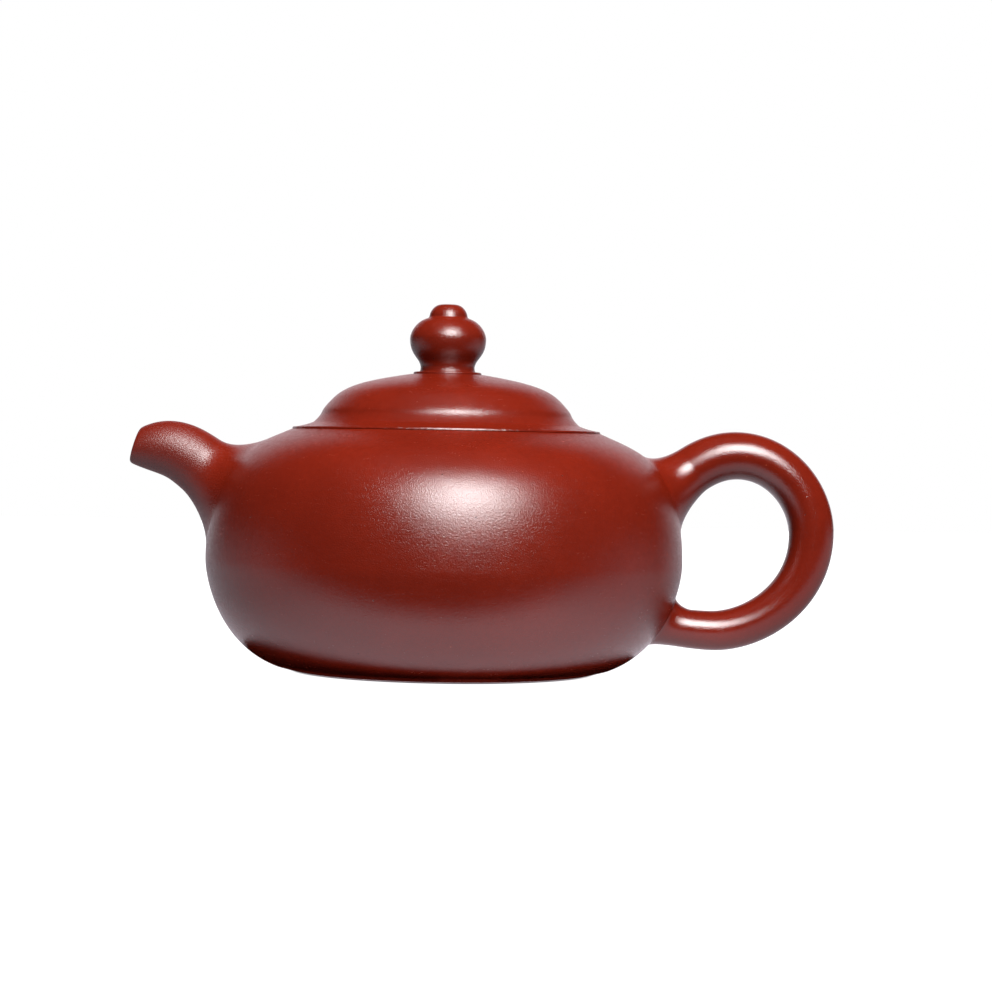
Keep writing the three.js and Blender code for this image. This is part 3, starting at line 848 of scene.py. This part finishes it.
class Nodes:
    """Short names for building a node tree."""

    def __init__(self, name):
        self.material = bpy.data.materials.new(name)
        self.material.use_nodes = True
        self.tree = self.material.node_tree
        self.tree.nodes.clear()

    def add(self, kind, inputs=None, **settings):
        node = self.tree.nodes.new(kind)
        for key, value in settings.items():
            setattr(node, key, value)
        for key, value in (inputs or {}).items():
            if isinstance(value, bpy.types.NodeSocket):
                self.tree.links.new(value, node.inputs[key])
            else:
                node.inputs[key].default_value = value
        return node

    def noise(self, where, scale, detail=3.0, roughness=0.55):
        return self.add("ShaderNodeTexNoise", {"Vector": where, "Scale": scale, "Detail": detail,
                                               "Roughness": roughness})

    def ramp(self, value, low, high, to_low=0.0, to_high=1.0):
        return self.add("ShaderNodeMapRange", {"Value": value, "From Min": low, "From Max": high,
                                               "To Min": to_low, "To Max": to_high},
                        interpolation_type="SMOOTHSTEP").outputs["Result"]

    def math(self, operation, a, b):
        return self.add("ShaderNodeMath", {0: a, 1: b}, operation=operation).outputs[0]

    def mix(self, share, a, b):
        node = self.add("ShaderNodeMix", data_type="RGBA")
        for key, value in (("Factor", share), ("A", a), ("B", b)):
            socket = [i for i in node.inputs if i.name == key and i.enabled][0]
            if isinstance(value, bpy.types.NodeSocket):
                self.tree.links.new(value, socket)
            else:
                socket.default_value = value
        return [o for o in node.outputs if o.enabled][0]


CLAY_DEEP = (0.092, 0.0056, 0.0018, 1)
CLAY_WARM = (0.110, 0.0070, 0.0022, 1)
CLAY_MOTTLE = (0.080, 0.0047, 0.0015, 1)
CLAY_GRAIN = (0.140, 0.0110, 0.0034, 1)
DARK_SPECK = (0.018, 0.004, 0.003, 1)
PALE_SPECK = (0.40, 0.10, 0.045, 1)
BRUSHED_RELIEF = 4


def make_clay(name, roughness, grain_height, rougher=0.0):
    """Fine red-brown stoneware, with its lowest and highest roughness and the height of its
    grain in mm. rougher is what the free part of the spout adds to the roughness. The grain
    stands higher there too, by BRUSHED_RELIEF times as large a share."""
    n = Nodes(name)
    coordinates = n.add("ShaderNodeTexCoord").outputs["Object"]
    where = n.add("ShaderNodeMapping", {"Vector": coordinates, "Scale": (1000, 1000, 1000)})
    where = where.outputs[0]
    flat = n.add("ShaderNodeMapping", {"Vector": where, "Scale": (0.35, 0.35, 2.2)}).outputs[0]

    clouds = n.noise(where, 0.07, detail=4).outputs["Fac"]
    mottle = n.noise(where, 0.9, detail=5, roughness=0.65).outputs["Fac"]
    grain = n.noise(where, 4.0, detail=2, roughness=0.6).outputs["Fac"]
    fine = n.noise(where, 7.0, detail=2).outputs["Fac"]

    colour = n.mix(n.ramp(clouds, 0.3, 0.7), CLAY_DEEP, CLAY_WARM)
    colour = n.mix(n.ramp(mottle, 0.35, 0.75, 0, 0.45), colour, CLAY_MOTTLE)
    colour = n.mix(n.ramp(fine, 0.45, 0.8, 0, 0.35), colour, CLAY_GRAIN)

    specks = n.add("ShaderNodeTexVoronoi", {"Vector": where, "Scale": 0.34, "Randomness": 1.0})
    chosen = n.add("ShaderNodeSeparateColor", {"Color": specks.outputs["Color"]})
    dark_dot = n.math("MULTIPLY", n.ramp(specks.outputs["Distance"], 0.032, 0.05, 1, 0),
                      n.ramp(chosen.outputs["Red"], 0.68, 0.7))
    colour = n.mix(n.math("MULTIPLY", dark_dot, 0.85), colour, DARK_SPECK)
    grains = n.add("ShaderNodeTexVoronoi", {"Vector": where, "Scale": 0.45, "Randomness": 1.0})
    picked = n.add("ShaderNodeSeparateColor", {"Color": grains.outputs["Color"]})
    pale_dot = n.math("MULTIPLY", n.ramp(grains.outputs["Distance"], 0.03, 0.055, 1, 0),
                      n.ramp(picked.outputs["Green"], 0.8, 0.82))
    colour = n.mix(n.math("MULTIPLY", pale_dot, 0.55), colour, PALE_SPECK)

    strokes = n.noise(flat, 0.8, detail=3).outputs["Fac"]
    rough = n.ramp(strokes, 0.3, 0.7, *roughness)
    rough = n.math("ADD", rough, n.ramp(grain, 0.3, 0.7, -0.03, 0.03))
    along = n.add("ShaderNodeSeparateXYZ", {"Vector": where}).outputs["X"]
    worked = n.ramp(along, *SPOUT_BRUSHED, 1, 0)
    rough = n.math("ADD", rough, n.math("MULTIPLY", worked, rougher))

    coarse = n.math("ADD", n.math("MULTIPLY", worked, BRUSHED_RELIEF * rougher), 1)
    height = n.math("MULTIPLY", n.math("MULTIPLY", grain, grain_height), coarse)
    height = n.math("ADD", height, n.math("MULTIPLY", fine, grain_height / 5))
    height = n.math("ADD", height, n.math("MULTIPLY", strokes, 0.012))
    height = n.math("SUBTRACT", height, n.math("MULTIPLY", dark_dot, 0.05))
    height = n.math("ADD", height, n.math("MULTIPLY", pale_dot, 0.012))
    bump = n.add("ShaderNodeBump", {"Height": height, "Strength": 1.0, "Distance": MM})

    facing = n.add("ShaderNodeLayerWeight", {"Blend": 0.5, "Normal": bump.outputs[0]})
    gleam = n.ramp(facing.outputs["Facing"], 0.2, 0.85, 0.5, 0.12)

    shader = n.add("ShaderNodeBsdfPrincipled", {
        "Base Color": colour, "Roughness": rough, "Normal": bump.outputs[0], "IOR": 1.6,
        "Specular IOR Level": gleam,
    })
    n.add("ShaderNodeOutputMaterial", {"Surface": shader.outputs[0]})
    return n.material


burnished = make_clay("burnished_clay", roughness=(0.20, 0.25), grain_height=0.06)
polished = make_clay("polished_clay", roughness=(0.14, 0.18), grain_height=0.045)
brushed = make_clay("brushed_clay", roughness=(0.20, 0.25), grain_height=0.06, rougher=0.16)
raw = make_clay("raw_clay", roughness=(0.55, 0.68), grain_height=0.10)


# ---- Pieces ------------------------------------------------------------------------------

EVERYWHERE = "everywhere"


def add_piece(name, made, node, body, inside=None, cutter=None, outside=burnished):
    """Adds a piece that stands for a CAD node and moves with a body. It is raw clay where
    inside says so, or EVERYWHERE."""
    piece = make_mesh(name, *made)
    if cutter is not None:
        subtract(piece, make_mesh(name + "_cutter", *cutter))
    if inside == EVERYWHERE:
        dress(piece, raw)
    else:
        dress(piece, outside, raw, inside)
    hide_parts(node)
    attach(piece, body)


def under_skin(middles):
    """True for places inside the pot's wall or on its inner face."""
    return height_above_skin(middles)[0] < -INSIDE_DEPTH


def under_lid(middles):
    """True for the dome's hollow side."""
    outer, _ = dome_lines()
    crown = outer[::-1]
    radius = np.hypot(middles[:, 0], middles[:, 1])
    return middles[:, 2] < np.interp(radius, crown[:, 0], crown[:, 1]) - INSIDE_DEPTH


add_piece("pot_base", make_base_disc(), "base_disc", "pot", inside=EVERYWHERE)
add_piece("pot_wall", make_body_wall(), "body_wall", "pot", under_skin, make_wall_hole())
add_piece("pot_shoulder", make_shoulder_disc(), "shoulder_disc", "pot", under_skin)
add_piece("pot_mouth_ring", make_mouth_ring(), "mouth_ring", "pot", under_skin)
add_piece("pot_spout", make_spout(), "spout", "pot", outside=brushed)
add_piece("pot_strainer", make_strainer(), "strainer", "pot", EVERYWHERE,
          make_strainer_pins())
add_piece("pot_handle", make_handle(), "handle", "pot", outside=polished)
add_piece("lid_brim", make_lid_disc(), "lid_disc", "lid")
add_piece("lid_crown", make_lid_dome(), "lid_dome", "lid", under_lid)
add_piece("lid_neck_ring", make_lid_flange(), "lid_flange", "lid", inside=EVERYWHERE)
add_piece("lid_knob_collar", make_knob_collar(), "knob_collar", "lid")
add_piece("lid_knob", make_knob(), "knob", "lid")
add_piece("lid_knob_bead", make_knob_finial(), "knob_finial", "lid")


# ---- Studio ------------------------------------------------------------------------------

LIGHT_DISTANCE = 3.0
TABLE_EDGE = 0.056
# The card below is painted shade: a dark sheet round the foot that stands for the table's shade under
# the pot.
CARD_WIDTH = 0.0405
CARD_SHIFT = -0.002
CARD_DEPTH = 0.0348
CARD_HEIGHT = 0.0003
CARD_LIP = 0.001
CARD_CLEARANCE = 0.3
CARD_STEPS = 96
PAPER_FIBRE = 900
BOUNCE_HEIGHT = 0.00015
BOUNCE_FADE = (0.015, 0.085)
BOUNCE_GLOW = (1.22, 0.62)
CONTACT_SHADOW = (0.0275, 0.0295)
COOL_WHITE = (1.0, 0.955, 1.05, 1)
TABLE_HALF_WIDTH = 3.0
BACKDROP_HALF_WIDTH = 0.85
SWEEP_BACK = 1.3
SWEEP_TURN = 0.25
SWEEP_HEIGHT = 0.8
SWEEP_FRONT = 3.0

centre = Vector((AXIS_X * MM, 0, 0.03))


def make_paper(name, glow_near, glow_far, tint=(1, 1, 1, 1)):
    """Pale studio paper that glows, from glow_near at the pot to glow_far at the back, and
    less under the pot, as a contact shadow."""
    n = Nodes(name)
    where = n.add("ShaderNodeTexCoord").outputs["Object"]
    back = n.add("ShaderNodeSeparateXYZ", {"Vector": where}).outputs["Y"]
    glow = n.add("ShaderNodeMapRange", {"Value": back, "From Min": 0.0, "From Max": SWEEP_BACK,
                                        "To Min": glow_near, "To Max": glow_far})
    radius = n.add("ShaderNodeVectorMath", {0: where, 1: (AXIS_X * MM, 0, 0)},
                   operation="DISTANCE").outputs["Value"]
    glow = n.math("MULTIPLY", glow.outputs["Result"], n.ramp(radius, *CONTACT_SHADOW, 0.2, 1))
    fibre = n.noise(where, PAPER_FIBRE, detail=3)
    bump = n.add("ShaderNodeBump", {"Height": fibre.outputs["Fac"], "Strength": 0.05, "Distance": MM})
    shader = n.add("ShaderNodeBsdfPrincipled", {
        "Base Color": (0.12, 0.12, 0.12, 1), "Roughness": 0.9, "Specular IOR Level": 0.1,
        "Normal": bump.outputs[0], "Emission Color": tint,
        "Emission Strength": glow,
    })
    n.add("ShaderNodeOutputMaterial", {"Surface": shader.outputs[0]})
    return n.material


def make_sheet(name, line, half_width, paper):
    """A sheet of paper that follows a line of (y, z) places."""
    verts = [(x, y, z) for y, z in line for x in (-half_width, half_width)]
    faces = [(2 * i, 2 * i + 1, 2 * i + 3, 2 * i + 2) for i in range(len(line) - 1)]
    mesh = bpy.data.meshes.new(name)
    mesh.from_pydata(verts, [], faces)
    mesh.polygons.foreach_set("use_smooth", [True] * len(mesh.polygons))
    mesh.materials.append(paper)
    sheet = bpy.data.objects.new(name, mesh)
    bpy.context.scene.collection.objects.link(sheet)
    return sheet


def make_shade_card():
    """A black oval of card that lies round the foot: painted shade that stands for the table's shade
    under the pot and keeps the table's light off the underside. The camera doesn't see it and it
    casts no shadow."""
    n = Nodes("painted_shade_card")
    fibre = n.noise(n.add("ShaderNodeTexCoord").outputs["Object"], PAPER_FIBRE, detail=3)
    # Painted shade: near-black, so the underside sees shade where the table would be.
    dark = n.ramp(fibre.outputs["Fac"], 0.3, 0.7, 0.003, 0.006)
    shader = n.add("ShaderNodeBsdfPrincipled", {"Base Color": dark, "Roughness": 0.95,
                                                "Specular IOR Level": 0.0})
    n.add("ShaderNodeOutputMaterial", {"Surface": shader.outputs[0]})
    angles = np.linspace(0, 2 * math.pi, CARD_STEPS, endpoint=False)
    circle = np.stack([np.cos(angles), np.sin(angles)], 1)
    inner = circle * (FOOT_RADIUS + CARD_CLEARANCE) * MM
    outer = circle * [CARD_WIDTH, CARD_DEPTH] + [CARD_SHIFT, 0]
    heights = np.repeat([CARD_HEIGHT, CARD_HEIGHT, CARD_LIP], CARD_STEPS)
    verts = np.hstack([np.vstack([inner, outer, outer]), heights[:, None]])
    verts[:, 0] += AXIS_X * MM
    mesh = bpy.data.meshes.new("studio_shade_card")
    faces = [tuple(reversed(face)) for face in grid_faces(3, CARD_STEPS)]
    mesh.from_pydata(verts.tolist(), [], faces)
    mesh.materials.append(n.material)
    card = bpy.data.objects.new("studio_shade_card", mesh)
    card.visible_camera = False
    card.visible_shadow = False
    bpy.context.scene.collection.objects.link(card)


def make_bounce():
    """What the pot sees of the table: brightest in front and behind, dimmer to both sides."""
    n = Nodes("bounce_paper")
    where = n.add("ShaderNodeTexCoord").outputs["Object"]
    aside = n.math("ABSOLUTE", n.add("ShaderNodeSeparateXYZ", {"Vector": where}).outputs["X"], 0)
    glow = n.ramp(aside, *BOUNCE_FADE, *BOUNCE_GLOW)
    fibre = n.noise(where, PAPER_FIBRE, detail=3).outputs["Fac"]
    glow = n.math("MULTIPLY", glow, n.ramp(fibre, 0.3, 0.7, 0.99, 1.01))
    shader = n.add("ShaderNodeEmission", {"Color": COOL_WHITE, "Strength": glow})
    n.add("ShaderNodeOutputMaterial", {"Surface": shader.outputs[0]})
    back = SWEEP_BACK - SWEEP_TURN
    sheet = make_sheet("studio_bounce", [(-TABLE_EDGE, BOUNCE_HEIGHT), (back, BOUNCE_HEIGHT)],
                       TABLE_HALF_WIDTH, n.material)
    sheet.visible_camera = False
    sheet.visible_shadow = False


def make_studio():
    """What the camera sees of the paper, which doesn't light or mirror in the pot, and what the pot
    sees in its place: the bounce sheet, the dark card of painted shade and the curved backdrop."""
    table = make_paper("table_paper", 0.95, 1.05)
    wall = make_paper("backdrop_paper", 0.6, 0.6, COOL_WHITE)
    flat_end = SWEEP_BACK - SWEEP_TURN
    turn = [(flat_end + SWEEP_TURN * math.sin(a), SWEEP_TURN - SWEEP_TURN * math.cos(a))
            for a in np.linspace(0, math.pi / 2, 13)]
    top = make_sheet("studio_table", [(-TABLE_EDGE, 0), (flat_end, 0)], TABLE_HALF_WIDTH, table)
    top.visible_diffuse = False
    top.visible_glossy = False
    make_bounce()
    backdrop = make_sheet("studio_backdrop", turn + [(SWEEP_BACK, SWEEP_HEIGHT)],
                          BACKDROP_HALF_WIDTH, wall)
    backdrop.visible_camera = False
    front = make_sheet("studio_front", [(-SWEEP_FRONT, 0), (-TABLE_EDGE, 0)],
                       TABLE_HALF_WIDTH, table)
    front.visible_glossy = False
    front.visible_diffuse = False
    make_shade_card()


def direction(azimuth, elevation):
    """A unit vector away from the pot: azimuth 0 is the front (-Y), positive to +X."""
    a, e = math.radians(azimuth), math.radians(elevation)
    return Vector((math.sin(a) * math.cos(e), -math.cos(a) * math.cos(e), math.sin(e)))


def add_light(name, azimuth, elevation, half_width, half_height, flux):
    """An oval soft light that faces the pot. It fills a cone of these half angles, and flux is
    its brightness times the solid angle it fills."""
    light = bpy.data.lights.new(name, "AREA")
    light.shape = "ELLIPSE"
    light.size = 2 * LIGHT_DISTANCE * math.tan(math.radians(half_width))
    light.size_y = 2 * LIGHT_DISTANCE * math.tan(math.radians(half_height))
    light.energy = flux * math.pi * LIGHT_DISTANCE ** 2
    lamp = bpy.data.objects.new(name, light)
    lamp.location = centre + direction(azimuth, elevation) * LIGHT_DISTANCE
    lamp.rotation_euler = direction(azimuth, elevation).to_track_quat("Z", "Y").to_euler()
    bpy.context.scene.collection.objects.link(lamp)
    return lamp


def make_world(seen, fill):
    """White where the camera sees past the paper, and a faint fill everywhere else."""
    world = bpy.data.worlds.new("studio")
    bpy.context.scene.world = world
    world.use_nodes = True
    tree = world.node_tree
    background = tree.nodes["Background"]
    path = tree.nodes.new("ShaderNodeLightPath")
    strength = tree.nodes.new("ShaderNodeMapRange")
    strength.inputs["To Min"].default_value = fill
    strength.inputs["To Max"].default_value = seen
    tree.links.new(path.outputs["Is Camera Ray"], strength.inputs["Value"])
    tree.links.new(strength.outputs["Result"], background.inputs["Strength"])
    background.inputs["Color"].default_value = (1, 1, 1, 1)


make_studio()
add_light("softbox", azimuth=13, elevation=40.6, half_width=17.5, half_height=18.7, flux=7.8)
overhead = add_light("overhead", azimuth=0, elevation=85, half_width=20, half_height=20, flux=4.6)
overhead.visible_glossy = False
make_world(seen=1.0, fill=0.03)

# ---- Camera ------------------------------------------------------------------------------

VIEW_DISTANCE = 500.0
CAMERA_HEIGHT = 41.07
AIM = (9.62, 33.44)
MM_PER_PIXEL = 0.19
FRAME_PIXELS = 992
ROLL = 0.018
SENSOR = 36.0

camera_data = bpy.data.cameras.new("camera")
camera_data.sensor_width = SENSOR
camera_data.lens = SENSOR * VIEW_DISTANCE / (MM_PER_PIXEL * FRAME_PIXELS)
camera = bpy.data.objects.new("camera", camera_data)
aim = Vector(to_frame((AIM[0], 0, AIM[1])))
camera.location = to_frame((AIM[0], -VIEW_DISTANCE, CAMERA_HEIGHT))
look = (aim - camera.location).to_track_quat("-Z", "Y")
camera.rotation_mode = "QUATERNION"
camera.rotation_quaternion = look @ Matrix.Rotation(ROLL, 4, "Z").to_quaternion()
bpy.context.scene.collection.objects.link(camera)
bpy.context.scene.camera = camera

bpy.context.scene.view_settings.view_transform = "Standard"
bpy.context.scene.view_settings.look = "None"
